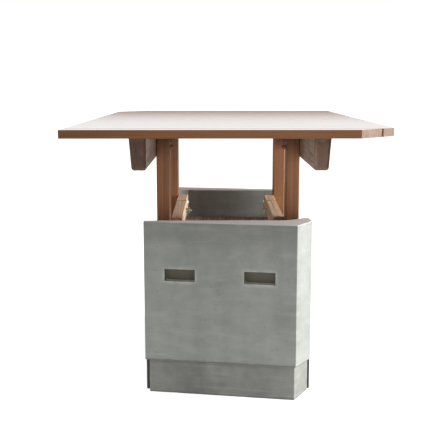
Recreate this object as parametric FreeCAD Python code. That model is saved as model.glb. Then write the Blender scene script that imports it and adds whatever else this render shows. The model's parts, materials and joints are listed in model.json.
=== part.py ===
import FreeCAD, Part
import math
import os

# Garden table: plank top on four posts, standing in a two-part concrete base.
#
# Frame: origin on the floor under the centre of the table, +X to the right,
# +Y to the back, +Z up.  Millimetres.  The base looks the same after half a
# turn about +Z, and so does the top.

os.makedirs("parts", exist_ok=True)

V = FreeCAD.Vector
UP = V(0, 0, 1)

# ---- table top
HEIGHT = 743.5            # floor to the upper face
TOP_THICK = 20.0
TOP_WIDTH = 785.0         # along X
TOP_LENGTH = 1344.0       # along Y
EDGE_PLANK = 56.0         # the narrow plank at each end
INNER_PLANKS = 13
PLANK_GAP = 0.8
END_GAP = 5.5             # beside the narrow planks
CORNER_CLIP = 93.0        # 45 degree cut across two opposite corners
PLANK_EASE = 0.4          # chamfer on the long upper edges

# ---- battens under the top
BATTEN_LENGTH = 1264.0
BATTEN_WIDTH = 40.5
BATTEN_HEIGHT = 78.0
BATTEN_LEAN = 6.0         # the outer side leans in by this at the bottom
BATTEN_ROUND = 8.0

# ---- posts and rails
POST_INNER = 159.5        # distance of a post's inner side from the centre
POST_THICK = 36.5
POST_DEPTH = 67.0
POST_Y = 258.0            # centre of a post
RAIL_WIDTH = 31.5
RAIL_TOP = 475.0
RAIL_STEP = 2.0           # behind the lap the rear board is this much higher
RAIL_HEIGHT = 45.0
RAIL_END_Y = 246.0
RAIL_BOLT_Y = 235.0
RAIL_BOLT_Z = 451.0
LAP_FRONT_Y = -5.0        # the lap joint's two shoulders
LAP_BACK_Y = 107.0
LAP_GAP = 1.0
LAP_BOLT_Y = 53.0

# ---- floor of the well
SHELF_TOP = 391.0
SHELF_THICK = 18.0
SHELF_BOARDS = 4
SHELF_GAP = 3.0
SHELF_LENGTH = 624.0
BEARER_WIDTH = 44.0
BEARER_HEIGHT = 45.0

# ---- concrete end slabs, as seen from above (the front one)
SLAB_LEFT = V(-229.5, -350.0, 0)
SLAB_CORNER = V(180.4, -424.0, 0)
SLAB_INNER_Y = -331.0
SLAB_TOP = 481.0
SLAB_RADIUS = 2.5
WING_OUTER = V(226.8, -348.0, 0)
WING_END = V(225.8, -303.0, 0)
WING_TIP = V(222.0, -289.0, 0)
WING_INNER = V(211.0, -286.0, 0)
FILLET_START = V(182.0, -316.0, 0)
FILLET_MID = V(160.0, -327.0, 0)
FILLET_END = V(132.0, SLAB_INNER_Y, 0)
PLINTH_HEIGHT = 94.5
LIFT_GAP = 0.3            # under a slab, so that it lifts freely
PLINTH_LEFT = V(-218.4, -343.0, 0)
PLINTH_CORNER = V(177.7, -416.0, 0)
PLINTH_RIGHT = V(221.0, -333.0, 0)
PLINTH_BACK_Y = -325.0

# ---- hand pockets in the slabs
POCKET_WIDTH = 83.5
POCKET_HEIGHT = 33.0
POCKET_DEPTH = 22.0
POCKET_Z = 335.5
POCKET_SPACING = 218.0    # centre to centre along the slab

# ---- dowels that locate a slab on its plinth
DOWEL_R = 5.0
DOWEL_CLEAR = 0.08
DOWEL_LOW = 67.0
DOWEL_HIGH = 114.0
DOWEL_PLACES = [V(-150, -344, 0), V(150, -372, 0)]

# ---- boards that close the two long sides
SIDE_OUTER = 228.0
SIDE_INNER = POST_INNER + POST_THICK
SIDE_END_Y = 324.0
SIDE_WING_END_Y = 272.0   # the shorter end, behind a slab's wing
SILL_HEIGHT = 91.0
SIDE_TOP = 405.0
SIDE_GAP = 3.0

# ---- foot rails behind the plinths
FOOT_FRONT_Y = -324.5
FOOT_LOW = 12.0

# ---- fasteners
BOLT_R = 4.0
HOLE_CLEAR = 0.1
BOLT_HEAD_R = 9.0
BOLT_HEAD_RISE = 4.0
WASHER_R = 8.5
WASHER_THICK = 1.6
NUT_ACROSS = 13.0
NUT_THICK = 6.5
WING_REACH = 14.0         # from the bolt to an ear's tip
WING_THICK = 2.5
WING_FOOT = 5.0           # an ear's tip starts this far from the rail
WING_RISE = 8.0           # the length of an ear's tip
WING_ROUND = 3.0
WING_HUB_R = 6.5
WING_TURN = 40.0          # the ears' angle when tight
SCREW_R = 2.5
SCREW_HEAD_R = 4.8
SCREW_HEAD_DEPTH = 3.0
TOP_SCREW_LENGTH = 45.0
COUNTERBORE_R = 6.0       # the top's screws come from below, deep in the battens
COUNTERBORE_DEPTH = 45.0
EDGE_SCREW_INSET = 9.0    # from a batten's end
SMALL_SCREW_LENGTH = 40.0
POST_BOLTS = [(-14.0, 675.0), (14.0, 694.0)]   # (offset along Y, height)

UNDERSIDE = HEIGHT - TOP_THICK
POST_OUTER = POST_INNER + POST_THICK
RAIL_INNER = POST_INNER - RAIL_WIDTH
THREAD_OUT = 14.0         # bolt end past the last face


def save(name, shape):
    """Write one node, after a check that its solids are sound."""
    if not shape.isValid():
        raise ValueError(name + " is not a valid shape")
    shape.exportStep("parts/" + name + ".step")
    print(name, len(shape.Solids), round(shape.Volume / 1000.0, 1), "cm3")


def box(x0, x1, y0, y1, z0, z1):
    """A box between two limits along each axis, in any order."""
    low = V(min(x0, x1), min(y0, y1), min(z0, z1))
    size = V(abs(x1 - x0), abs(y1 - y0), abs(z1 - z0))
    return Part.makeBox(size.x, size.y, size.z, low)


def prism(points, bottom, top):
    """An upright prism over a flat outline of straight sides."""
    wire = Part.makePolygon([V(p.x, p.y, bottom) for p in points + points[:1]])
    return Part.Face(wire).extrude(V(0, 0, top - bottom))


def half_turn(shape):
    """The same piece at the other end of the table."""
    copy = shape.copy()
    copy.rotate(V(0, 0, 0), UP, 180)
    return copy


def mirror_x(shape):
    """The same piece on the other side of the centre plane."""
    return shape.mirror(V(0, 0, 0), V(1, 0, 0))


def eased(shape, size, wanted):
    """Chamfer the straight edges for which wanted(edge) is true."""
    edges = [e for e in shape.Edges if wanted(e)]
    return shape.makeChamfer(size, edges) if edges else shape


def upright(edge):
    """True for an edge that runs straight up."""
    a, b = edge.Vertexes[0].Point, edge.Vertexes[-1].Point
    return abs(a.x - b.x) + abs(a.y - b.y) < 0.01 and abs(a.z - b.z) > 1


def bolt_hole(x0, x1, y, z):
    """The clearance hole of a bolt that runs along X."""
    return Part.makeCylinder(BOLT_R + HOLE_CLEAR, abs(x1 - x0), V(min(x0, x1), y, z), V(1, 0, 0))


def screw(place, direction, length):
    """A countersunk screw whose flat head is at place."""
    cone = Part.makeCone(SCREW_HEAD_R, SCREW_R, SCREW_HEAD_DEPTH, place, direction)
    neck = place + direction * SCREW_HEAD_DEPTH
    shank = Part.makeCylinder(SCREW_R, length - SCREW_HEAD_DEPTH, neck, direction)
    return cone.fuse(shank).removeSplitter()


def screw_hole(place, direction, length):
    """The hole that a screw of that place and length sits in."""
    wide = HOLE_CLEAR
    back = place - direction
    cone = Part.makeCone(SCREW_HEAD_R + wide, SCREW_R + wide, SCREW_HEAD_DEPTH, place, direction)
    mouth = Part.makeCylinder(SCREW_HEAD_R + wide, 1.0, back, direction)
    shank = Part.makeCylinder(SCREW_R + wide, length + 0.5, place, direction)
    return cone.fuse([mouth, shank])


# ---------------------------------------------------------------- table top
def plank_spans():
    """The front and back limits of each plank, from the front."""
    inner_total = TOP_LENGTH - 2 * (EDGE_PLANK + END_GAP) - (INNER_PLANKS - 1) * PLANK_GAP
    widths = [EDGE_PLANK] + [inner_total / INNER_PLANKS] * INNER_PLANKS + [EDGE_PLANK]
    gaps = [END_GAP] + [PLANK_GAP] * (INNER_PLANKS - 1) + [END_GAP, 0.0]
    spans = []
    y = -TOP_LENGTH / 2
    for width, gap in zip(widths, gaps):
        spans.append((y, y + width))
        y += width + gap
    return spans


def top_screw_places():
    """Screw heads inside the battens, one or two rows for each plank."""
    x = POST_OUTER + BATTEN_WIDTH / 2
    end = BATTEN_LENGTH / 2 - EDGE_SCREW_INSET
    rows = [-end, end]
    for y0, y1 in plank_spans()[1:-1]:
        rows += [y0 + part * (y1 - y0) for part in (0.22, 0.78)]
    z = UNDERSIDE - BATTEN_HEIGHT + COUNTERBORE_DEPTH
    return [V(side * x, y, z) for y in rows for side in (-1, 1)]


def clip_cutter():
    """The two corner pieces that are sawn off the top."""
    side, front = TOP_WIDTH / 2, -TOP_LENGTH / 2
    over = 5.0
    reach = CORNER_CLIP + over
    corner = [V(side - reach, front - over, 0), V(side + over, front - over, 0),
              V(side + over, front + reach, 0)]
    cut = prism(corner, UNDERSIDE - over, HEIGHT + over)
    return cut.fuse(half_turn(cut))


def make_top():
    holes = Part.makeCompound([screw_hole(p, UP, TOP_SCREW_LENGTH) for p in top_screw_places()])
    clip = clip_cutter()
    half = TOP_WIDTH / 2
    for number, (y0, y1) in enumerate(plank_spans(), 1):
        plank = box(-half, half, y0, y1, UNDERSIDE, HEIGHT).cut(clip)

        def long_upper(edge):
            a, b = edge.Vertexes[0].Point, edge.Vertexes[-1].Point
            return min(a.z, b.z) > HEIGHT - 0.01 and abs(a.y - b.y) < 0.01

        plank = eased(plank, PLANK_EASE, long_upper).cut(holes)
        save("top_plank_%02d" % number, plank)
    for side, name in ((-1, "left"), (1, "right")):
        mine = [screw(p, UP, TOP_SCREW_LENGTH) for p in top_screw_places() if p.x * side > 0]
        save("top_screws_" + name, Part.makeCompound(mine))


def make_battens():
    """Bearers that lean in on the outer side and are rounded below."""
    x0, x1 = POST_OUTER, POST_OUTER + BATTEN_WIDTH
    low = UNDERSIDE - BATTEN_HEIGHT
    front = -BATTEN_LENGTH / 2
    outline = [V(x0, front, low), V(x1 - BATTEN_LEAN, front, low),
               V(x1, front, UNDERSIDE), V(x0, front, UNDERSIDE)]
    face = Part.Face(Part.makePolygon(outline + outline[:1]))
    batten = face.extrude(V(0, BATTEN_LENGTH, 0))
    lower = [e for e in batten.Edges if e.BoundBox.ZMax < low + 0.01 and e.BoundBox.XLength < 0.01]
    batten = batten.makeFillet(BATTEN_ROUND, lower)
    mine = [p for p in top_screw_places() if p.x > 0]
    holes = [screw_hole(p, UP, TOP_SCREW_LENGTH) for p in mine]
    holes += [Part.makeCylinder(COUNTERBORE_R, COUNTERBORE_DEPTH + 5, p, -UP) for p in mine]
    for y in (-POST_Y, POST_Y):
        for dy, z in POST_BOLTS:
            holes.append(bolt_hole(x0 - 5, x1 + 5, y + dy, z))
    batten = batten.cut(Part.makeCompound(holes))
    save("batten_right", batten)
    save("batten_left", mirror_x(batten))


# ---------------------------------------------------------------- posts, rails
def make_posts():
    for y_side, y_name in ((-1, "front"), (1, "rear")):
        y = y_side * POST_Y
        post = box(POST_INNER, POST_OUTER, y - POST_DEPTH / 2, y + POST_DEPTH / 2, 0, UNDERSIDE)
        post = eased(post, 2.0, upright)
        holes = [bolt_hole(POST_INNER - 5, POST_OUTER + 5, y + dy, z) for dy, z in POST_BOLTS]
        holes.append(bolt_hole(POST_INNER - 5, POST_OUTER + 5, y_side * RAIL_BOLT_Y, RAIL_BOLT_Z))
        holes += [side_screw_hole(p) for p in side_screw_places() if p.x > 0]
        post = post.cut(Part.makeCompound(holes))
        save("post_%s_right" % y_name, post)
        save("post_%s_left" % y_name, mirror_x(post))


def make_rails():
    """Each side rail is two boards, lapped side by side."""
    low = RAIL_TOP - RAIL_HEIGHT
    high = RAIL_TOP + RAIL_STEP
    middle = RAIL_INNER + RAIL_WIDTH / 2
    front = box(RAIL_INNER, POST_INNER, -RAIL_END_Y, LAP_FRONT_Y, low, RAIL_TOP)
    front = front.fuse(box(RAIL_INNER, middle, LAP_FRONT_Y, LAP_BACK_Y, low, RAIL_TOP)).removeSplitter()
    rear = box(RAIL_INNER, POST_INNER, LAP_BACK_Y + LAP_GAP, RAIL_END_Y, low, high)
    tongue = box(middle, POST_INNER, LAP_FRONT_Y + LAP_GAP, LAP_BACK_Y + LAP_GAP, low, RAIL_TOP)
    rear = rear.fuse(tongue).removeSplitter()
    places = (-RAIL_BOLT_Y, LAP_BOLT_Y, RAIL_BOLT_Y)
    cut = Part.makeCompound([bolt_hole(RAIL_INNER - 5, POST_INNER + 5, y, RAIL_BOLT_Z) for y in places])
    for name, piece in (("front", front.cut(cut)), ("rear", rear.cut(cut))):
        save("rail_%s_right" % name, piece)
        save("rail_%s_left" % name, mirror_x(piece))


# ---------------------------------------------------------------- fasteners
def carriage_bolt(outer, inner, y, z):
    """A dome-headed bolt from outer to inner along -X, and its end."""
    end = inner - THREAD_OUT
    shank = Part.makeCylinder(BOLT_R, outer - end, V(end, y, z), V(1, 0, 0))
    ball_r = (BOLT_HEAD_R ** 2 + BOLT_HEAD_RISE ** 2) / (2 * BOLT_HEAD_RISE)
    ball = Part.makeSphere(ball_r, V(outer + BOLT_HEAD_RISE - ball_r, y, z))
    keep = Part.makeCylinder(BOLT_HEAD_R + 1, BOLT_HEAD_RISE + 1, V(outer, y, z), V(1, 0, 0))
    return shank.fuse(ball.common(keep)).removeSplitter()


def washer(face, y, z):
    ring = Part.makeCylinder(WASHER_R, WASHER_THICK, V(face - WASHER_THICK, y, z), V(1, 0, 0))
    return ring.cut(bolt_hole(face - 5, face + 5, y, z))


def hex_nut(face, y, z):
    """A hexagon nut whose flat back rests at face."""
    r = NUT_ACROSS / 2 / math.cos(math.pi / 6)
    turns = [k * math.pi / 3 for k in range(7)]
    points = [V(face, y + r * math.cos(a), z + r * math.sin(a)) for a in turns]
    nut = Part.Face(Part.makePolygon(points)).extrude(V(-NUT_THICK, 0, 0))
    return nut.cut(bolt_hole(face - 20, face + 5, y, z))


def wing_nut(face, y, z):
    """A wing nut: a tapered hub and two rounded ears that spread out."""
    hub = Part.makeCone(WING_HUB_R, WING_HUB_R - 1.5, NUT_THICK + 2.5, V(face, y, z), V(-1, 0, 0))
    front = y - WING_THICK / 2
    foot = face - WING_FOOT
    ears = []
    for side in (-1, 1):
        root = z + side * (WING_HUB_R - 2)
        tip = z + side * WING_REACH
        outline = [V(face - 1.5, front, root), V(foot, front, tip),
                   V(foot - WING_RISE, front, tip), V(face - NUT_THICK - 1, front, root)]
        ear = Part.makePolygon(outline + outline[:1])
        solid = Part.Face(ear).extrude(V(0, WING_THICK, 0))
        outer = [e for e in solid.Edges if abs(abs(e.BoundBox.ZMin - z) - WING_REACH) < 0.01
                 and e.BoundBox.ZLength < 0.01 and e.BoundBox.YLength > 1]
        ears.append(solid.makeFillet(WING_ROUND, outer))
    nut = hub.fuse(ears).removeSplitter().cut(bolt_hole(face - 30, face + 5, y, z))
    nut.rotate(V(face, y, z), V(1, 0, 0), WING_TURN)
    return nut


def save_pair(name, shapes):
    """One node with the pieces of one side and of the other."""
    save(name, Part.makeCompound(shapes + [mirror_x(s) for s in shapes]))


def make_bolts():
    post_places = [(side * POST_Y + dy, z) for side in (-1, 1) for dy, z in POST_BOLTS]
    batten_outer = POST_OUTER + BATTEN_WIDTH
    face = POST_INNER - WASHER_THICK
    save_pair("post_bolts", [carriage_bolt(batten_outer, POST_INNER, y, z) for y, z in post_places])
    save_pair("post_bolt_washers", [washer(POST_INNER, y, z) for y, z in post_places])
    save_pair("post_bolt_nuts", [hex_nut(face, y, z) for y, z in post_places])

    # the rails' bolts have their heads inside, so these are laid out on the left
    rail_places = [(-RAIL_BOLT_Y, RAIL_BOLT_Z), (RAIL_BOLT_Y, RAIL_BOLT_Z)]
    face = -POST_OUTER - WASHER_THICK
    save_pair("rail_bolts", [carriage_bolt(-RAIL_INNER, -POST_OUTER, y, z) for y, z in rail_places])
    save_pair("rail_bolt_washers", [washer(-POST_OUTER, y, z) for y, z in rail_places])
    save_pair("rail_bolt_nuts", [hex_nut(face, y, z) for y, z in rail_places])

    lap = (LAP_BOLT_Y, RAIL_BOLT_Z)
    face = RAIL_INNER - WASHER_THICK
    save_pair("lap_bolts", [carriage_bolt(POST_INNER, RAIL_INNER - 4, *lap)])
    save_pair("lap_washers", [washer(RAIL_INNER, *lap)])
    nut = wing_nut(face - LIFT_GAP, *lap)
    save("wing_nut_right", nut)
    save("wing_nut_left", mirror_x(nut))


# ---------------------------------------------------------------- well floor
def shelf_spans():
    half = POST_INNER - 2
    width = (2 * half - (SHELF_BOARDS - 1) * SHELF_GAP) / SHELF_BOARDS
    starts = [-half + k * (width + SHELF_GAP) for k in range(SHELF_BOARDS)]
    return [(start, start + width) for start in starts]


def shelf_screw_places():
    places = []
    for x0, x1 in shelf_spans():
        for part in (0.25, 0.75):
            x = x0 + part * (x1 - x0)
            places += [V(x, -POST_Y, SHELF_TOP), V(x, POST_Y, SHELF_TOP)]
    return places


def make_shelf():
    holes = Part.makeCompound([screw_hole(p, -UP, SMALL_SCREW_LENGTH) for p in shelf_screw_places()])
    low = SHELF_TOP - SHELF_THICK
    for number, (x0, x1) in enumerate(shelf_spans(), 1):
        board = box(x0, x1, -SHELF_LENGTH / 2, SHELF_LENGTH / 2, low, SHELF_TOP)
        save("shelf_board_%d" % number, board.cut(holes))
    for side, name in ((-1, "front"), (1, "rear")):
        y = side * POST_Y
        half = BEARER_WIDTH / 2
        bearer = box(-POST_INNER, POST_INNER, y - half, y + half, low - BEARER_HEIGHT, low)
        save("shelf_bearer_" + name, bearer.cut(holes))
    screws = [screw(p, -UP, SMALL_SCREW_LENGTH) for p in shelf_screw_places()]
    save("shelf_screws", Part.makeCompound(screws))


# ---------------------------------------------------------------- side boards
def side_board_heights():
    """The lower and upper limits of the sill and of the boards above it."""
    start = SILL_HEIGHT + SIDE_GAP
    height = (SIDE_TOP - start - SIDE_GAP) / 2
    return [(0.0, SILL_HEIGHT), (start, start + height), (start + height + SIDE_GAP, SIDE_TOP)]


def side_screw_places():
    """Screw heads on the outer faces, two per board at each post."""
    places = []
    for z0, z1 in side_board_heights():
        for part in (0.25, 0.75):
            z = z0 + part * (z1 - z0)
            for y in (-POST_Y, POST_Y):
                places += [V(SIDE_OUTER, y, z), V(-SIDE_OUTER, y, z)]
    return places


def inward(place):
    return V(-math.copysign(1, place.x), 0, 0)


def side_screw_hole(place):
    return screw_hole(place, inward(place), SMALL_SCREW_LENGTH)


def make_sides():
    holes = Part.makeCompound([side_screw_hole(p) for p in side_screw_places()])
    for level, (z0, z1) in enumerate(side_board_heights()):
        front = -SIDE_END_Y if level == 0 else -SIDE_WING_END_Y
        board = box(SIDE_INNER, SIDE_OUTER, front, SIDE_END_Y, z0, z1)
        board = eased(board, 2.0, lambda e: e.BoundBox.YLength > 300 and e.BoundBox.XMin > SIDE_OUTER - 1)
        name = "side_sill" if level == 0 else "side_board_%d" % level
        save(name + "_right", board.cut(holes))
        save(name + "_left", half_turn(board).cut(holes))
    screws = [screw(p, inward(p), SMALL_SCREW_LENGTH) for p in side_screw_places()]
    save("side_screws", Part.makeCompound(screws))


def make_foot_rails():
    rail = box(-POST_OUTER, POST_OUTER, FOOT_FRONT_Y, -POST_Y - POST_DEPTH / 2, FOOT_LOW, SILL_HEIGHT)
    save("foot_rail_front", rail)
    save("foot_rail_rear", half_turn(rail))


# ---------------------------------------------------------------- concrete
def slab_outline(z):
    """The slab from above: a skewed face, a wing and a soft inner corner."""
    def at(p):
        return V(p.x, p.y, z)

    inner_left = V(SLAB_LEFT.x, SLAB_INNER_Y, z)
    edges = [
        Part.LineSegment(inner_left, at(SLAB_LEFT)),
        Part.LineSegment(at(SLAB_LEFT), at(SLAB_CORNER)),
        Part.LineSegment(at(SLAB_CORNER), at(WING_OUTER)),
        Part.LineSegment(at(WING_OUTER), at(WING_END)),
        Part.Arc(at(WING_END), at(WING_TIP), at(WING_INNER)),
        Part.LineSegment(at(WING_INNER), at(FILLET_START)),
        Part.Arc(at(FILLET_START), at(FILLET_MID), at(FILLET_END)),
        Part.LineSegment(at(FILLET_END), inner_left)]
    return Part.Wire([e.toShape() for e in edges])


def pocket_cutters():
    """The two hand pockets, square to the skewed outer face."""
    along = (SLAB_CORNER - SLAB_LEFT).normalize()
    into = UP.cross(along)
    middle = (SLAB_LEFT + SLAB_CORNER) * 0.5
    cutters = []
    for side in (-1, 1):
        centre = middle + along * (side * POCKET_SPACING / 2)
        low = centre - along * (POCKET_WIDTH / 2) - into * 10
        points = [low, low + along * POCKET_WIDTH,
                  low + along * POCKET_WIDTH + into * (POCKET_DEPTH + 10), low + into * (POCKET_DEPTH + 10)]
        cut = prism(points, POCKET_Z - POCKET_HEIGHT / 2, POCKET_Z + POCKET_HEIGHT / 2)
        back = [e for e in cut.Edges if upright(e) and (e.CenterOfMass - centre).dot(into) > 0]
        cutters.append(cut.makeFillet(4.0, back))
    return cutters


def make_slabs():
    bottom = PLINTH_HEIGHT + LIFT_GAP
    slab = Part.Face(slab_outline(bottom)).extrude(V(0, 0, SLAB_TOP - bottom))
    rim = [e for e in slab.Edges if e.BoundBox.ZMin > SLAB_TOP - 0.01]
    corners = [e for e in slab.Edges if upright(e) and e.Vertexes[0].Point.y < SLAB_INNER_Y - 1]
    slab = slab.makeFillet(SLAB_RADIUS, rim + corners)
    slab = slab.cut(Part.makeCompound(pocket_cutters()))
    sockets = [Part.makeCylinder(DOWEL_R + DOWEL_CLEAR, DOWEL_HIGH - bottom + 3, p + UP * (bottom - 1))
               for p in DOWEL_PLACES]
    slab = slab.cut(Part.makeCompound(sockets))
    save("front_slab", slab)
    save("rear_slab", half_turn(slab))


def make_plinths():
    outline = [V(PLINTH_LEFT.x, PLINTH_BACK_Y, 0), PLINTH_LEFT, PLINTH_CORNER, PLINTH_RIGHT,
               V(PLINTH_RIGHT.x, PLINTH_BACK_Y, 0)]
    plinth = prism(outline, 0, PLINTH_HEIGHT)
    outer = [e for e in plinth.Edges if upright(e) and e.Vertexes[0].Point.y < PLINTH_BACK_Y - 1]
    plinth = plinth.makeFillet(SLAB_RADIUS, outer)
    holes = [Part.makeCylinder(DOWEL_R, DOWEL_HIGH, p + UP * DOWEL_LOW) for p in DOWEL_PLACES]
    plinth = plinth.cut(Part.makeCompound(holes))
    save("front_plinth", plinth)
    save("rear_plinth", half_turn(plinth))
    pins = []
    for place in DOWEL_PLACES:
        pin = Part.makeCylinder(DOWEL_R, DOWEL_HIGH - DOWEL_LOW, place + UP * DOWEL_LOW)
        tip = [e for e in pin.Edges if e.BoundBox.ZMin > DOWEL_HIGH - 0.01]
        pins.append(pin.makeChamfer(1.0, tip))
    save("slab_dowels", Part.makeCompound(pins + [half_turn(p) for p in pins]))


make_top()
make_battens()
make_posts()
make_rails()
make_bolts()
make_shelf()
make_sides()
make_foot_rails()
make_slabs()
make_plinths()
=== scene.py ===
import json
import math
import random

import bmesh
import bpy
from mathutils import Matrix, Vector, noise
from mathutils.kdtree import KDTree


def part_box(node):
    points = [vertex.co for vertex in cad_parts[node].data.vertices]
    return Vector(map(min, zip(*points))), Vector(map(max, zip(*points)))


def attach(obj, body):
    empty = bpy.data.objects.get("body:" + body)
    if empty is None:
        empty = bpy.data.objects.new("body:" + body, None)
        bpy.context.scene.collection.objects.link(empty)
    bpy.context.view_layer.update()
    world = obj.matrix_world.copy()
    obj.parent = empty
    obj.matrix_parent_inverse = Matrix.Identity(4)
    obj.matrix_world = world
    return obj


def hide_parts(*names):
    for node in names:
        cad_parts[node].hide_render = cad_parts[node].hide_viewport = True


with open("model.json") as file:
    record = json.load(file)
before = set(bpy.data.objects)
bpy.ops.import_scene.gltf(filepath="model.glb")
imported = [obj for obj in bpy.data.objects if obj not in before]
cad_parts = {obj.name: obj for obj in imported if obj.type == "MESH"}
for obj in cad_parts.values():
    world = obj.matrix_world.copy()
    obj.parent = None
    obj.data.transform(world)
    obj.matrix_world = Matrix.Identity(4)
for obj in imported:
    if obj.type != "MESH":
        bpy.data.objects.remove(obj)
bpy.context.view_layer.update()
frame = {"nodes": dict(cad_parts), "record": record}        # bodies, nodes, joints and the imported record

# Garden table: a plank top on four posts that rise from an open well between
# two cast concrete end slabs.  Metres, +Z up, the table's floor centre at the
# origin.  Every piece is shaped from the surface of its own CAD node.

MM = 0.001
RECORD = frame["record"]
BODY_OF = {node: body for body, nodes in RECORD["behaviour"]["bodies"].items() for node in nodes}
SLOT_OF = {part["node"]: part["material_slot"] for part in RECORD["subparts"]}
ALONG_X, ALONG_Y, ALONG_Z = 0, 1, 2

# ---- camera, in front of the front end and a little above the top
CAMERA_PLACE = (-0.033, -2.6274, 0.850)
CAMERA_PITCH = math.radians(80.65)
CAMERA_TURN = math.radians(-0.5)
CAMERA_LENS = 68.98
CAMERA_SENSOR = 36.0

# ---- studio: how bright the white wall looks, and how much light it gives
WHITE_WALL = 1.02
SOFT_LIGHT = 0.6

# ---- studio: the white floor, the window at the right and the sky above
FLOOR_SIZE = 60.0
FLOOR_GREY = (0.4, 0.4, 0.4, 1.0)
FLOOR_GLOW = 0.8
WHITE = (1.0, 1.0, 1.0, 1.0)
WINDOW_PLACE = (3.5, -0.48, 1.25)
WINDOW_TARGET = (0.1, -0.4, 0.35)
WINDOW_SIZE = (1.4, 1.6)
WINDOW_POWER = 282.0
SKY_STRENGTH = 1.5
SKY_ANGLE = math.radians(75)
SKY_TILT = (math.radians(12), math.radians(8), 0.0)

# ---- the wood's shading
WAVE_PERIOD = 0.314        # metres between the rings of a wave texture of scale 1
WORN_ROUGHER = 0.26        # roughness gained where the varnish has worn off
BARE_ROUGHER = 0.6         # the same on the top's unvarnished edges
BARE_SHADE = 0.86          # how light those edges are next to the faces
POST_PAINTED_SHADE = 0.54          # how much darker a post is at its upper end: painted shade under the table top
POST_PAINTED_SHADE_SPAN = (70 * MM, 20 * MM)      # where that begins and is full, below the upper end
FRONT_PLANK = "top_plank_01"
FRONT_PAINTED_SHADE = 0.3          # how much darker the front plank is at its left end: painted shade, away from the light at the right
FRONT_PAINTED_SHADE_SPAN = (0.05, 0.39)           # where that begins and is full, left of the middle
WORN_SPAN = (-0.55, 0.8)                  # from whole varnish to none, along Y
FACING = 0.6               # the least cosine for a face that points along an axis

# ---- the concrete's shading
RIM_DEEP = 2 * MM          # the painted highlight on a hand pocket's rim ends this far inside it how strong that painted highlight is
RIM_PAINTED_LIGHT = 0.45            # how pale that rim is
UPPER_PAINTED_LIGHT = 0.85          # how much light is painted on the slab faces that point up
BLOCK_PAINTED_LIGHT = 0.8           # how much light is painted on the left end of the rear slab's inner face: a painted pool of light from the right the right-hand end of that painted light
PAINTED_LIGHT_FROM = -129 * MM      # the right-hand end of that paler part
DARK_BAND_SHADE = 0.84          # how light the darker band is next to the rest of the concrete heights where the slab's outer face turns darker towards its top
SLAB_DARK_BAND_SPAN = (0.39, 0.47)             # heights where the slab's outer face turns damp
DARK_BAND_RAG = 20 * MM         # how uneven that boundary is
PLINTH_PAINTED_SHADOW_SPAN = (82 * MM, 92 * MM)     # the same on the plinth: a painted shadow under the slab
CUT_ABOVE = 3 * MM         # the surface is cut this far above and below each hand pocket
CUT_BESIDE = 9 * MM        # and this far beside it, where its shading ends
RECESS_SPAN = (1 * MM, 8 * MM)            # depths where the painted shade in a hand pocket begins and is full

# ---- uneven surfaces: noise features in a metre, and how far wear reaches from an edge
BOARD_WAVES = 22
BOARD_WEAR = 30
BOARD_STRETCH = 0.15       # that much slower along the board
BOARD_EDGE = 3 * MM
CAST_WAVES = 9
CAST_GRAIN = 60
CAST_CHIPS = 55
CHIP_SHIFT = (7, 3, 5)
CHIP_LEAST = 0.18          # an edge chips only where the noise is stronger than this
CAST_EDGE = 5 * MM

# ---- fasteners
BOLT_RADIUS = 4 * MM       # M8
HEAD_RADIUS_LEAST = 4 * MM     # every screw head is a disc wider than this


def srgb(red, green, blue):
    """A display colour of 0 to 255 as the linear colour a shader takes."""
    return tuple((c / 255 / 12.92) if c < 10 else ((c / 255 + 0.055) / 1.055) ** 2.4
                 for c in (red, green, blue)) + (1.0,)


BLACK = srgb(12, 11, 10)
AIR_HOLE = srgb(45, 46, 43)
# The colour of the painted light on the slabs.
PAINTED_LIGHT_CONCRETE = srgb(200, 200, 198)


# ------------------------------------------------------------------ materials
class Graph:
    """Shorthand for the node tree of one material."""

    def __init__(self, name):
        self.material = bpy.data.materials.new(name)
        self.material.use_nodes = True
        self.tree = self.material.node_tree
        self.shader = self.tree.nodes["Principled BSDF"]

    def feed(self, node, inputs):
        for key, value in inputs.items():
            if isinstance(value, bpy.types.NodeSocket):
                self.tree.links.new(value, node.inputs[key])
            else:
                node.inputs[key].default_value = value

    def add(self, kind, inputs, **settings):
        node = self.tree.nodes.new("ShaderNode" + kind)
        for key, value in settings.items():
            setattr(node, key, value)
        self.feed(node, inputs)
        return node.outputs

    def attribute(self, name):
        return self.add("Attribute", {}, attribute_name=name)

    def scaled(self, vector, factors):
        return self.add("VectorMath", {0: vector, 1: factors}, operation="MULTIPLY")[0]

    def noise(self, vector, scale, detail=3.0, roughness=0.55, distortion=0.0):
        return self.add("TexNoise", {"Vector": vector, "Scale": scale, "Detail": detail,
                                     "Roughness": roughness, "Distortion": distortion})["Fac"]

    def ramp(self, value, low, high, to_low=0.0, to_high=1.0):
        return self.add("MapRange", {"Value": value, "From Min": low, "From Max": high,
                                     "To Min": to_low, "To Max": to_high},
                        interpolation_type="SMOOTHSTEP")[0]

    def math(self, operation, a, b):
        return self.add("Math", {0: a, 1: b}, operation=operation)[0]

    def mix(self, factor, a, b, blend="MIX"):
        return self.add("Mix", {0: factor, 6: a, 7: b}, data_type="RGBA", blend_type=blend)[2]

    def shade(self, color, value):
        """The colour made lighter or darker by a factor."""
        grey = self.add("CombineColor", {0: value, 1: value, 2: value})[0]
        return self.mix(1.0, color, grey, "MULTIPLY")

    def finish(self, color, roughness, height, depth, **constants):
        """Feed the shader, with the height as a bump of so many metres."""
        bump = self.add("Bump", {"Height": height, "Distance": depth, "Strength": 0.6})[0]
        self.feed(self.shader, {"Base Color": color, "Roughness": roughness, "Normal": bump})
        self.feed(self.shader, constants)
        return self.material


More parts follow.
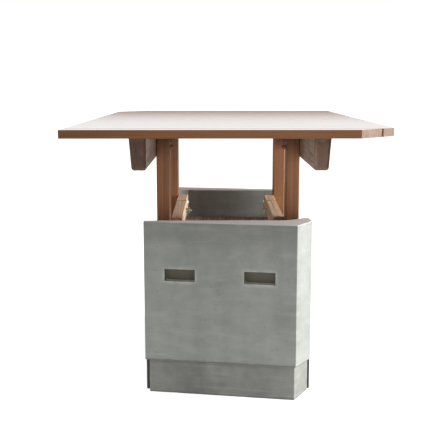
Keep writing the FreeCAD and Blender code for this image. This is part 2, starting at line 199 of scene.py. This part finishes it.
def wood(name, light, dark, end, weather, ring_gap=4 * MM, contrast=0.5, blotch=0.35,
         patch=11.0, rough=(0.5, 0.75), depth=0.4 * MM, varnish=0.0, **constants):
    """Sawn wood: rings about the board's length, fibres, weathering and end grain.

    It reads the board's own coordinates from the mesh: grain (x along the
    length), tone_and_shade (its brightness: its own tone with painted light and
    shade), end (1 on sawn-off ends), dry (1 where the varnish has worn off) and
    bare (1 on the top's unvarnished edges).
    """
    g = Graph(name)
    grain = g.attribute("grain")["Vector"]
    tone_and_shade = g.attribute("tone_and_shade")["Fac"]
    sawn = g.attribute("end")["Fac"]
    drawn = g.scaled(grain, (0.05, 1.0, 1.0))
    rings = g.add("TexWave", {"Vector": drawn, "Scale": WAVE_PERIOD / ring_gap, "Distortion": 7.0,
                              "Detail": 3.0, "Detail Scale": 0.6, "Detail Roughness": 0.6},
                  wave_type="RINGS", rings_direction="X", wave_profile="SAW")["Fac"]
    fibre = g.noise(g.scaled(grain, (0.015, 1.0, 1.0)), 420.0, 4.0, 0.6)
    pores = g.noise(g.scaled(grain, (0.04, 1.0, 1.0)), 1500.0, 2.0, 0.5)
    cloud = g.noise(g.scaled(grain, (0.3, 1.0, 1.0)), patch, 4.0, 0.6)
    figure = g.math("ADD", g.math("MULTIPLY", rings, 0.35), g.math("MULTIPLY", fibre, 0.65))
    figure = g.ramp(figure, 0.5 - 0.5 * contrast, 0.5 + 0.5 * contrast)
    color = g.mix(figure, dark, light)
    color = g.mix(g.ramp(cloud, 0.38, 0.72, 0.0, blotch), color, weather)
    color = g.mix(g.ramp(pores, 0.60, 0.72, 0.0, 0.25), color, dark, "MULTIPLY")
    across = g.noise(g.scaled(grain, (1.0, 1.0, 0.25)), 260.0, 4.0, 0.65)
    cut = g.mix(g.ramp(across, 0.35, 0.65), g.mix(0.45, end, dark), end)
    cracks = g.noise(g.scaled(grain, (1.0, 1.0, 0.12)), 160.0, 2.0, 0.5)
    cut = g.mix(g.ramp(cracks, 0.62, 0.70, 0.0, 0.55), cut, g.mix(0.7, cut, BLACK))
    cut = g.mix(g.ramp(cloud, 0.40, 0.62, 0.0, 0.8 * blotch * blotch), cut, g.mix(0.5, dark, BLACK))
    color = g.mix(sawn, color, cut)
    # the board's brightness: its own tone, with painted light and shade
    color = g.shade(color, tone_and_shade)
    roughness = g.ramp(fibre, 0.3, 0.7, rough[1], rough[0])
    if varnish:
        dry = g.attribute("dry")["Fac"]
        bare = g.attribute("bare")["Fac"]
        rougher = g.math("MAXIMUM", g.math("MULTIPLY", dry, WORN_ROUGHER),
                         g.math("MULTIPLY", bare, BARE_ROUGHER))
        roughness = g.math("ADD", roughness, rougher)
        fresh = g.math("SUBTRACT", 1.0, g.math("MAXIMUM", dry, bare))
        g.feed(g.shader, {"Coat Weight": g.math("MULTIPLY", fresh, varnish)})
        color = g.shade(color, g.ramp(bare, 0.0, 1.0, 1.0, BARE_SHADE))
    height = g.math("ADD", g.math("MULTIPLY", fibre, 0.6), g.math("MULTIPLY", rings, 0.4))
    return g.finish(color, roughness, height, depth, **constants)


def concrete(name, pale, deep, streak, stretch, contrast=0.5, sand_depth=0.25, depth=0.5 * MM,
             recess=BLACK):
    """Cast concrete: clouds, drawn-out trowel streaks, upright bands, fine sand and air holes.

    It reads from the mesh: dark_band (1 where it is darker: along the top of a
    slab's outer face, and as a painted shadow on the plinth under the slab),
    recess (1 deep inside a hand pocket, where shade is painted) and
    painted_light (1 where light is painted on).
    """
    g = Graph(name)
    place = g.add("TexCoord", {})["Object"]
    cloud = g.noise(place, 6.0, 5.0, 0.6, 0.6)
    mottle = g.noise(place, 30.0, 5.0, 0.6)
    lines = g.noise(g.scaled(place, stretch), 20.0, 4.0, 0.6, 0.3)
    sand = g.noise(place, 900.0, 2.0, 0.6)
    cells = g.add("TexVoronoi", {"Vector": place, "Scale": 90.0, "Randomness": 1.0})["Distance"]
    chance = g.noise(place, 40.0, 1.0, 0.5)
    hole = g.math("MULTIPLY", g.ramp(cells, 0.08, 0.17, 1.0, 0.0), g.ramp(chance, 0.60, 0.66))
    figure = g.math("ADD", g.math("MULTIPLY", cloud, 0.6), g.math("MULTIPLY", mottle, 0.4))
    color = g.mix(g.ramp(figure, 0.5 - 0.5 * contrast, 0.5 + 0.5 * contrast), deep, pale)
    color = g.mix(g.ramp(lines, 0.48, 0.74, 0.0, 0.6), color, streak)
    color = g.mix(g.ramp(lines, 0.26, 0.42, 0.8, 0.0), color, deep)
    bands = g.noise(g.scaled(place, (1.0, 1.0, 0.12)), 16.0, 3.0, 0.5)
    color = g.shade(color, g.ramp(bands, 0.35, 0.65, 0.93, 1.04))
    color = g.mix(g.ramp(sand, 0.35, 0.65, 0.0, 0.06), color, BLACK)
    color = g.mix(g.math("MULTIPLY", hole, 0.55), color, AIR_HOLE)
    # darker along the top of a slab's outer face, and a painted shadow on the plinth under the slab
    color = g.shade(color, g.ramp(g.attribute("dark_band")["Fac"], 0.0, 1.0, 1.0, DARK_BAND_SHADE))
    # painted shade deep inside the hand pockets
    color = g.mix(g.attribute("recess")["Fac"], color, recess)
    # painted light: on faces that point up, on the hand pockets' rims and on the left end of the rear
    # slab's inner face
    color = g.mix(g.attribute("painted_light")["Fac"], color, PAINTED_LIGHT_CONCRETE)
    roughness = g.ramp(cloud, 0.35, 0.65, 0.70, 0.56)
    sand_height = g.math("MULTIPLY", sand, sand_depth)
    height = g.math("SUBTRACT", g.math("ADD", sand_height, g.math("MULTIPLY", lines, 0.3)), hole)
    return g.finish(color, roughness, height, depth)


def zinc(name):
    """Zinc-plated steel with faint spangle and dull patches."""
    g = Graph(name)
    place = g.add("TexCoord", {})["Object"]
    patch = g.noise(place, 260.0, 3.0, 0.6)
    scratch = g.noise(g.scaled(place, (1.0, 1.0, 0.12)), 1800.0, 2.0, 0.5)
    tarnish = g.attribute("tarnish")["Fac"]
    color = g.mix(patch, srgb(196, 199, 202), srgb(222, 224, 226))
    color = g.mix(tarnish, color, srgb(116, 84, 62))
    roughness = g.math("ADD", g.ramp(patch, 0.3, 0.7, 0.28, 0.46), g.math("MULTIPLY", tarnish, 0.25))
    g.feed(g.shader, {"Metallic": g.ramp(tarnish, 0.0, 1.0, 1.0, 0.05)})
    return g.finish(color, roughness, scratch, 0.05 * MM)


DULL = {"Specular IOR Level": 0.25}
MATERIALS = {
    "top_wood": wood("top_wood", srgb(126, 84, 50), srgb(98, 60, 32), srgb(126, 106, 93),
                     srgb(116, 80, 54), ring_gap=5 * MM, contrast=0.7, blotch=0.5, rough=(0.12, 0.2),
                     depth=0.08 * MM, varnish=0.75, **DULL, **{"Coat Roughness": 0.1}),
    "batten_wood": wood("batten_wood", srgb(138, 112, 94), srgb(90, 68, 54), srgb(88, 66, 54),
                        srgb(96, 74, 58), contrast=0.6, blotch=0.9, patch=30.0, **DULL),
    "post_wood": wood("post_wood", srgb(132, 89, 60), srgb(106, 70, 46), srgb(92, 62, 44),
                      srgb(124, 84, 54), ring_gap=15 * MM, contrast=0.8, blotch=0.7, patch=14.0,
                      rough=(0.6, 0.75), depth=0.2 * MM, **DULL),
    "pine": wood("pine", srgb(212, 184, 154), srgb(174, 142, 112), srgb(166, 130, 98),
                 srgb(182, 158, 136), ring_gap=6 * MM, contrast=0.6),
    "shelf_wood": wood("shelf_wood", srgb(172, 150, 128), srgb(128, 108, 90), srgb(88, 76, 62),
                       srgb(126, 114, 100)),
    "side_wood": wood("side_wood", srgb(84, 75, 68), srgb(58, 51, 46), srgb(46, 41, 38),
                      srgb(78, 72, 66), contrast=0.7),
    "slab_concrete": concrete("slab_concrete", srgb(132, 134, 129), srgb(114, 117, 112),
                              srgb(138, 140, 135), (0.5, 0.5, 2.4), recess=srgb(88, 84, 70)),
    "plinth_concrete": concrete("plinth_concrete", srgb(119, 120, 114), srgb(97, 98, 93),
                                srgb(132, 133, 127), (0.25, 0.25, 3.5), contrast=0.35, sand_depth=0.5),
    "fastener_steel": zinc("fastener_steel"),
}

# How light a board is next to others of its wood, where that isn't left to chance: partly its own tone,
# partly painted light and shade, lighter at the right and on the rear posts.
TONES_AND_PAINTED_LIGHT = {"batten_left": 0.95, "batten_right": 1.18, "post_front_left": 0.93, "post_front_right": 1.12,
         "post_rear_left": 1.22, "post_rear_right": 1.18}


# ------------------------------------------------------------------ shaping
def shell_of(node):
    """The CAD node's surface, its flat faces made whole again."""
    bm = bmesh.new()
    bm.from_mesh(frame["nodes"][node].data)
    for old in list(bm.loops.layers.uv):
        bm.loops.layers.uv.remove(old)
    bmesh.ops.remove_doubles(bm, verts=bm.verts, dist=1e-6)
    bmesh.ops.dissolve_limit(bm, angle_limit=math.radians(0.4), verts=bm.verts, edges=bm.edges)
    return bm


def is_sharp(edge, degrees):
    return edge.is_manifold and edge.calc_face_angle(0.0) > math.radians(degrees)


def sharp_edges(bm, degrees, least):
    """The edges that are longer than least and turn by more than so many degrees."""
    return [e for e in bm.edges if is_sharp(e, degrees) and e.calc_length() > least]


def soften(bm, edges, ease):
    """Round some edges over."""
    bmesh.ops.bevel(bm, geom=edges, offset=ease, segments=2, profile=0.5, affect="EDGES",
                    clamp_overlap=True)


def span(verts, axis):
    """The lowest and the highest coordinate along one axis."""
    places = [v.co[axis] for v in verts]
    return min(places), max(places)


def unit_noise(place):
    """Smooth noise between about 0 and 1."""
    return 0.5 + 0.5 * noise.noise(place)


def closeness(distance, width):
    """1 on an edge, falling to nothing over a few widths."""
    return math.exp(-(distance / width) ** 2)


def edge_finder(edges, gap=2 * MM):
    """A lookup of the distance from any point to the nearest of some edges."""
    points = []
    for edge in edges:
        a, b = edge.verts[0].co, edge.verts[1].co
        count = max(1, int((b - a).length / gap))
        points += [a.lerp(b, k / count) for k in range(count + 1)]
    tree = KDTree(len(points))
    for index, point in enumerate(points):
        tree.insert(point, index)
    tree.balance()
    return lambda place: tree.find(place)[2]


def dice(bm, steps):
    """Cut the surface by planes about a step apart along each axis."""
    for axis, step in enumerate(steps):
        low, high = span(bm.verts, axis)
        count = int((high - low) / step)
        slice_at(bm, axis, [low + k * (high - low) / (count + 1) for k in range(1, count + 1)])


def smoothstep(value, low, high):
    x = min(1.0, max(0.0, (value - low) / (high - low)))
    return x * x * (3 - 2 * x)


def slice_at(bm, axis, places):
    """Cut the surface by planes at exact places along one axis."""
    for value in places:
        place, normal = Vector(), Vector()
        place[axis] = value
        normal[axis] = 1.0
        bmesh.ops.bisect_plane(bm, geom=bm.verts[:] + bm.edges[:] + bm.faces[:], dist=1e-6,
                               plane_co=place, plane_no=normal)


def round_nose(bm, along, radius, cuts=(0.08, 0.22, 0.42, 0.68, 1.0)):
    """Round the lower corner at both ends of a board, cut at shares of the radius."""
    start, stop = span(bm.verts, along)
    bottom = span(bm.verts, ALONG_Z)[0]
    parts = [radius * cut for cut in cuts]
    slice_at(bm, ALONG_Z, [bottom + part for part in parts])
    slice_at(bm, along, [start + part for part in parts] + [stop - part for part in parts])
    for vert in bm.verts:
        first, last = vert.co[along] - start, stop - vert.co[along]
        inset = radius - min(first, last)
        under = radius - (vert.co.z - bottom)
        far = math.hypot(inset, under)
        if inset > 0 and under > 0 and far > radius:
            vert.co[along] += (1 if first < last else -1) * inset * (1 - radius / far)
            vert.co.z += under * (1 - radius / far)


def make_piece(name, node, bm, sharp=32.0):
    """Turn a shaped surface into a piece that stands for its CAD node."""
    for face in bm.faces:
        face.smooth = True
    for edge in bm.edges:
        edge.smooth = not is_sharp(edge, sharp)
    mesh = bpy.data.meshes.new(name)
    bm.to_mesh(mesh)
    bm.free()
    mesh.materials.append(MATERIALS[SLOT_OF[node]])
    piece = bpy.data.objects.new(name, mesh)
    bpy.context.scene.collection.objects.link(piece)
    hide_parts(node)
    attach(piece, BODY_OF[node])


def board(node, along, ease=1.2 * MM, wear=0.5 * MM, hollow=0.25 * MM, cell=24 * MM, nose=0.0,
          sharp=20.0):
    """A wooden piece: softened, unevenly worn edges and slightly wavy faces."""
    rng = random.Random(node)
    bm = shell_of(node)
    corners = sharp_edges(bm, degrees=50, least=10 * MM)
    near_edge = edge_finder(corners)
    soften(bm, corners, ease)
    dice(bm, [cell if axis == along else 0.5 * cell for axis in range(3)])
    if nose:
        round_nose(bm, along, nose)
    bm.normal_update()
    shift = Vector([rng.uniform(-50, 50) for _ in range(3)])
    squeeze = Vector([BOARD_STRETCH if axis == along else 1.0 for axis in range(3)])
    for vert in bm.verts:
        wave = unit_noise(vert.co * squeeze * BOARD_WAVES + shift)
        worn = unit_noise(vert.co * BOARD_WEAR + shift)
        close = closeness(near_edge(vert.co), BOARD_EDGE)
        vert.co -= vert.normal * (hollow * wave + wear * worn * close)
    paint_board(bm, node, along, rng)
    make_piece(node + "_wood", node, bm, sharp)


def paint_board(bm, node, along, rng, tones=(0.9, 1.08)):
    """Write the values that the wood materials read onto the surface."""
    grain = bm.verts.layers.float_vector.new("grain")
    tone_and_shade = bm.verts.layers.float.new("tone_and_shade")
    dry = bm.verts.layers.float.new("dry")
    end = bm.faces.layers.float.new("end")
    bare = bm.faces.layers.float.new("bare")
    across = [axis for axis in range(3) if axis != along]
    start = Vector((rng.uniform(-4, 4), rng.uniform(-0.12, 0.12),
                    rng.choice((-1, 1)) * rng.uniform(0.03, 0.1)))
    low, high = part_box(node)
    centre = (Vector(low) + Vector(high)) / 2
    # the board's tone, with painted light and shade for the boards listed in TONES_AND_PAINTED_LIGHT
    level = TONES_AND_PAINTED_LIGHT.get(node, rng.uniform(*tones))
    shade_from, shade_to = [high[2] - below for below in POST_PAINTED_SHADE_SPAN]
    for vert in bm.verts:
        local = vert.co - centre
        vert[grain] = Vector((local[along], local[across[0]], local[across[1]])) + start
        vert[tone_and_shade] = level
        # painted shade under the table top: a post darker towards its upper end
        if SLOT_OF[node] == "post_wood":
            vert[tone_and_shade] = level * (1 - POST_PAINTED_SHADE * smoothstep(vert.co.z, shade_from, shade_to))
        # painted shade: the front plank darker towards its left end, away from the light at the right
        if node == FRONT_PLANK:
            vert[tone_and_shade] = level * (1 - FRONT_PAINTED_SHADE * smoothstep(-vert.co.x, *FRONT_PAINTED_SHADE_SPAN))
        vert[dry] = smoothstep(vert.co.y, *WORN_SPAN)
    for face in bm.faces:
        face[end] = 1.0 if abs(face.normal[along]) > FACING else 0.0
        face[bare] = 1.0 if face.normal.z < FACING else 0.0


def hand_pockets(node):
    """The boxes of a slab's own hand pockets, as the record gives them."""
    side = node.split("_")[0]
    return [opening["box_m"] for opening in RECORD["physics"]["openings"]
            if opening["name"].startswith(side + "_pocket")]


def in_pocket(place, pockets, beside=20 * MM, above=10 * MM):
    """Whether a place is in front of, in or just round a hand pocket."""
    return any(low[0] - beside < place.x < high[0] + beside and low[2] - above < place.z < high[2] + above
               for low, high in pockets)


def outer_face(bm, node):
    """A point and the outward direction of a slab's large skewed face."""
    sign = -1 if node.startswith("front") else 1
    faces = [f for f in bm.faces if f.normal.y * sign > 0.9]
    biggest = max(faces, key=lambda f: f.calc_area())
    return biggest.calc_center_median(), biggest.normal.copy()


def cast(node, cell=7 * MM, ease=1.5 * MM, wave=0.5 * MM, chip=2.0 * MM):
    """A concrete piece: chipped edges and slightly uneven faces."""
    bm = shell_of(node)
    near_edge = edge_finder(sharp_edges(bm, degrees=24, least=12 * MM))
    pockets = hand_pockets(node) if node.endswith("slab") else []
    face = outer_face(bm, node)
    soften(bm, sharp_edges(bm, degrees=60, least=12 * MM), ease)
    dice(bm, (cell, cell, cell))
    for low, high in pockets:
        slice_at(bm, ALONG_Z, (low[2] - CUT_ABOVE, high[2] + CUT_ABOVE))
        slice_at(bm, ALONG_X, (low[0] - CUT_BESIDE, high[0] + CUT_BESIDE))
    # cut where the painted light on the rear slab's inner face ends
    if node == "rear_slab":
        slice_at(bm, ALONG_X, (PAINTED_LIGHT_FROM - MM, PAINTED_LIGHT_FROM + MM))
    bm.normal_update()
    paint_concrete(bm, node, pockets, face, near_edge)
    for vert in bm.verts:
        uneven = 0.7 * unit_noise(vert.co * CAST_WAVES) + 0.3 * unit_noise(vert.co * CAST_GRAIN)
        rag = max(0.0, noise.noise(vert.co * CAST_CHIPS + Vector(CHIP_SHIFT)) - CHIP_LEAST)
        close = closeness(near_edge(vert.co), CAST_EDGE)
        vert.co -= vert.normal * (wave * uneven + chip * rag * close)
    make_piece(node + "_concrete", node, bm)


def paint_concrete(bm, node, pockets, face, near_edge):
    """Write the values that the concrete materials read onto the surface."""
    recess = bm.verts.layers.float.new("recess")
    rim = bm.verts.layers.float.new("painted_light")
    dark_band = bm.verts.layers.float.new("dark_band")
    face_place, face_normal = face
    for vert in bm.verts:
        if not node.endswith("slab"):
            # painted shadow on the plinth, under the slab's overhang
            vert[dark_band] = smoothstep(vert.co.z, *PLINTH_PAINTED_SHADOW_SPAN)
            continue
        depth = (face_place - vert.co).dot(face_normal)
        facing = vert.normal.dot(face_normal)
        # painted light on faces that point up
        lit_shares = [UPPER_PAINTED_LIGHT * smoothstep(vert.normal.z, 0.2, 0.7)]
        if in_pocket(vert.co, pockets):
            # painted shade deep inside a hand pocket
            vert[recess] = smoothstep(depth, *RECESS_SPAN)
            # a painted highlight on the rim of a hand pocket
            close = closeness(near_edge(vert.co), CAST_EDGE)
            lit_shares.append(RIM_PAINTED_LIGHT * close * smoothstep(RIM_DEEP - depth, 0.0, 1 * MM)
                            * unit_noise(vert.co * CAST_GRAIN))
        # a painted pool of light on the left end of the rear slab's inner face
        if facing < -0.5 and node == "rear_slab":
            lit_shares.append(BLOCK_PAINTED_LIGHT * smoothstep(PAINTED_LIGHT_FROM - vert.co.x, -MM, MM))
        vert[rim] = max(lit_shares)
        if facing > 0.5:
            # darker towards the top of the slab's outer face
            ragged = vert.co.z + DARK_BAND_RAG * unit_noise(vert.co * CAST_WAVES)
            vert[dark_band] = smoothstep(ragged, *SLAB_DARK_BAND_SPAN)


# ------------------------------------------------------------------ fasteners
def tarnish(bm, node):
    """The post bolts sit in the moisture under the top and have gone dull."""
    layer = bm.verts.layers.float.new("tarnish")
    for vert in bm.verts:
        vert[layer] = 1.0 if node.startswith("post_bolt") else 0.0


def islands(bm):
    """The vertices of each separate solid."""
    left = set(bm.verts)
    while left:
        group, border = set(), {left.pop()}
        while border:
            group |= border
            border = {e.other_vert(v) for v in border for e in v.link_edges} - group
        left -= group
        yield list(group)


def cross_recess(bm, head, reach=2.6 * MM, arm=0.55 * MM, deep=1.6 * MM, taper=0.6):
    """Sink a cross-shaped drive recess into a flat screw head."""
    middle, normal = head.calc_center_median(), head.normal.copy()
    side = normal.orthogonal().normalized()
    other = normal.cross(side)
    corner = [(reach, -arm), (reach, arm), (arm, arm)]
    places = []
    for quarter in range(4):
        turn = math.radians(90 * quarter)
        for a, b in corner:
            places.append((a * math.cos(turn) - b * math.sin(turn),
                           a * math.sin(turn) + b * math.cos(turn)))
    rim_edges = list(head.edges)
    bmesh.ops.delete(bm, geom=[head], context="FACES_ONLY")
    upper = [bm.verts.new(middle + side * a + other * b) for a, b in places]
    lower = [bm.verts.new(middle + side * a * taper + other * b * taper - normal * deep) for a, b in places]
    count = len(places)
    for k in range(count):
        bm.faces.new((upper[k], upper[(k + 1) % count], lower[(k + 1) % count], lower[k]))
    bm.faces.new(lower)
    cross = [bm.edges.get((upper[k], upper[(k + 1) % count])) for k in range(count)]
    bmesh.ops.triangle_fill(bm, edges=rim_edges + cross, use_dissolve=False)


def screws(node):
    """Countersunk screws with a cross recess in each head."""
    bm = shell_of(node)
    least = math.pi * HEAD_RADIUS_LEAST ** 2
    heads = [f for f in bm.faces if len(f.verts) > 8 and f.calc_area() > least]
    for head in heads:
        cross_recess(bm, head)
    bmesh.ops.recalc_face_normals(bm, faces=bm.faces)
    tarnish(bm, node)
    make_piece(node + "_steel", node, bm)


def bolts(node, pitch=1.25 * MM, deep=0.45 * MM, threaded=16 * MM):
    """Bolts along X, threaded at the inner end, or at the outer one on the rails."""
    bm = shell_of(node)
    reach = [abs(v.co.x) for v in bm.verts]
    tip, way = (max(reach), -1) if node == "rail_bolts" else (min(reach), 1)
    crests = [tip + way * k * pitch / 2 for k in range(int(2 * threaded / pitch))]
    slice_at(bm, ALONG_X, crests[1:] + [-crest for crest in crests[1:]])
    for group in islands(bm):
        y = sum(span(group, ALONG_Y)) / 2
        z = sum(span(group, ALONG_Z)) / 2
        for vert in group:
            along = way * (abs(vert.co.x) - tip)
            if along < threaded - 0.5 * pitch:
                valley = round(2 * along / pitch) % 2 == 0
                shrink = 1 - (deep / BOLT_RADIUS if valley else 0.0)
                vert.co.y = y + (vert.co.y - y) * shrink
                vert.co.z = z + (vert.co.z - z) * shrink
    tarnish(bm, node)
    make_piece(node + "_steel", node, bm, sharp=24)


def steel(node, ease=0.4 * MM):
    """A steel piece or a set of them, with softened corners."""
    bm = shell_of(node)
    soften(bm, sharp_edges(bm, degrees=25, least=0.8 * MM), ease)
    tarnish(bm, node)
    make_piece(node + "_steel", node, bm)


def fasteners(node):
    if "screws" in node:
        screws(node)
    elif node.endswith("bolts"):
        bolts(node)
    else:
        steel(node)


def long_side(node):
    """The axis that a level board runs along."""
    low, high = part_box(node)
    return ALONG_Y if high[1] - low[1] > high[0] - low[0] else ALONG_X


def build_pieces():
    for node, slot in SLOT_OF.items():
        if slot == "top_wood":
            board(node, ALONG_X, ease=0.3 * MM, wear=0.3 * MM, hollow=0.15 * MM, sharp=12.0)
        elif slot == "batten_wood":
            board(node, ALONG_Y, ease=2.0 * MM, wear=1.2 * MM, nose=11 * MM, sharp=32.0)
        elif slot in ("shelf_wood", "side_wood", "pine"):
            board(node, long_side(node))
        elif slot == "post_wood":
            board(node, ALONG_Z)
        elif slot in ("slab_concrete", "plinth_concrete"):
            cast(node)
        else:
            fasteners(node)


# ------------------------------------------------------------------ the studio
def hang_window():
    """The main light, a wide window at the right."""
    light = bpy.data.lights.new("right_window", "AREA")
    light.shape = "RECTANGLE"
    light.size, light.size_y = WINDOW_SIZE
    light.energy = WINDOW_POWER
    lamp = bpy.data.objects.new("right_window", light)
    lamp.location = WINDOW_PLACE
    aim = Vector(WINDOW_TARGET) - Vector(WINDOW_PLACE)
    lamp.rotation_euler = aim.to_track_quat("-Z", "Y").to_euler()
    bpy.context.scene.collection.objects.link(lamp)


def hang_sky():
    """Light from above, so wide that its shadows have no edge."""
    light = bpy.data.lights.new("ceiling", "SUN")
    light.energy = SKY_STRENGTH
    light.angle = SKY_ANGLE
    lamp = bpy.data.objects.new("ceiling", light)
    lamp.rotation_euler = SKY_TILT
    bpy.context.scene.collection.objects.link(lamp)


def place_camera():
    """Look along +Y, a little down."""
    camera_data = bpy.data.cameras.new("camera")
    camera_data.lens = CAMERA_LENS
    camera_data.sensor_width = CAMERA_SENSOR
    camera = bpy.data.objects.new("camera", camera_data)
    camera.location = CAMERA_PLACE
    camera.rotation_euler = (CAMERA_PITCH, 0.0, CAMERA_TURN)
    bpy.context.scene.collection.objects.link(camera)
    bpy.context.scene.camera = camera


def lay_floor():
    bpy.ops.mesh.primitive_plane_add(size=FLOOR_SIZE, location=(0, 0, 0))
    floor = bpy.context.object
    floor.name = "floor"
    paper = Graph("pale_floor")
    paper.feed(paper.shader, {"Base Color": FLOOR_GREY, "Roughness": 0.9,
                              "Emission Color": WHITE, "Emission Strength": FLOOR_GLOW})
    floor.data.materials.append(paper.material)


def light_world():
    """A white wall all round that looks brighter than the light it gives."""
    world = bpy.data.worlds.new("studio")
    bpy.context.scene.world = world
    world.use_nodes = True
    tree = world.node_tree
    background = tree.nodes["Background"].inputs
    background["Color"].default_value = WHITE
    ray = tree.nodes.new("ShaderNodeLightPath").outputs["Is Diffuse Ray"]
    strength = tree.nodes.new("ShaderNodeMapRange")
    strength.inputs["To Min"].default_value = WHITE_WALL
    strength.inputs["To Max"].default_value = SOFT_LIGHT
    tree.links.new(ray, strength.inputs["Value"])
    tree.links.new(strength.outputs[0], background["Strength"])
    bpy.context.scene.view_settings.view_transform = "Standard"


def make_studio():
    place_camera()
    lay_floor()
    light_world()
    hang_window()
    hang_sky()


make_studio()
build_pieces()
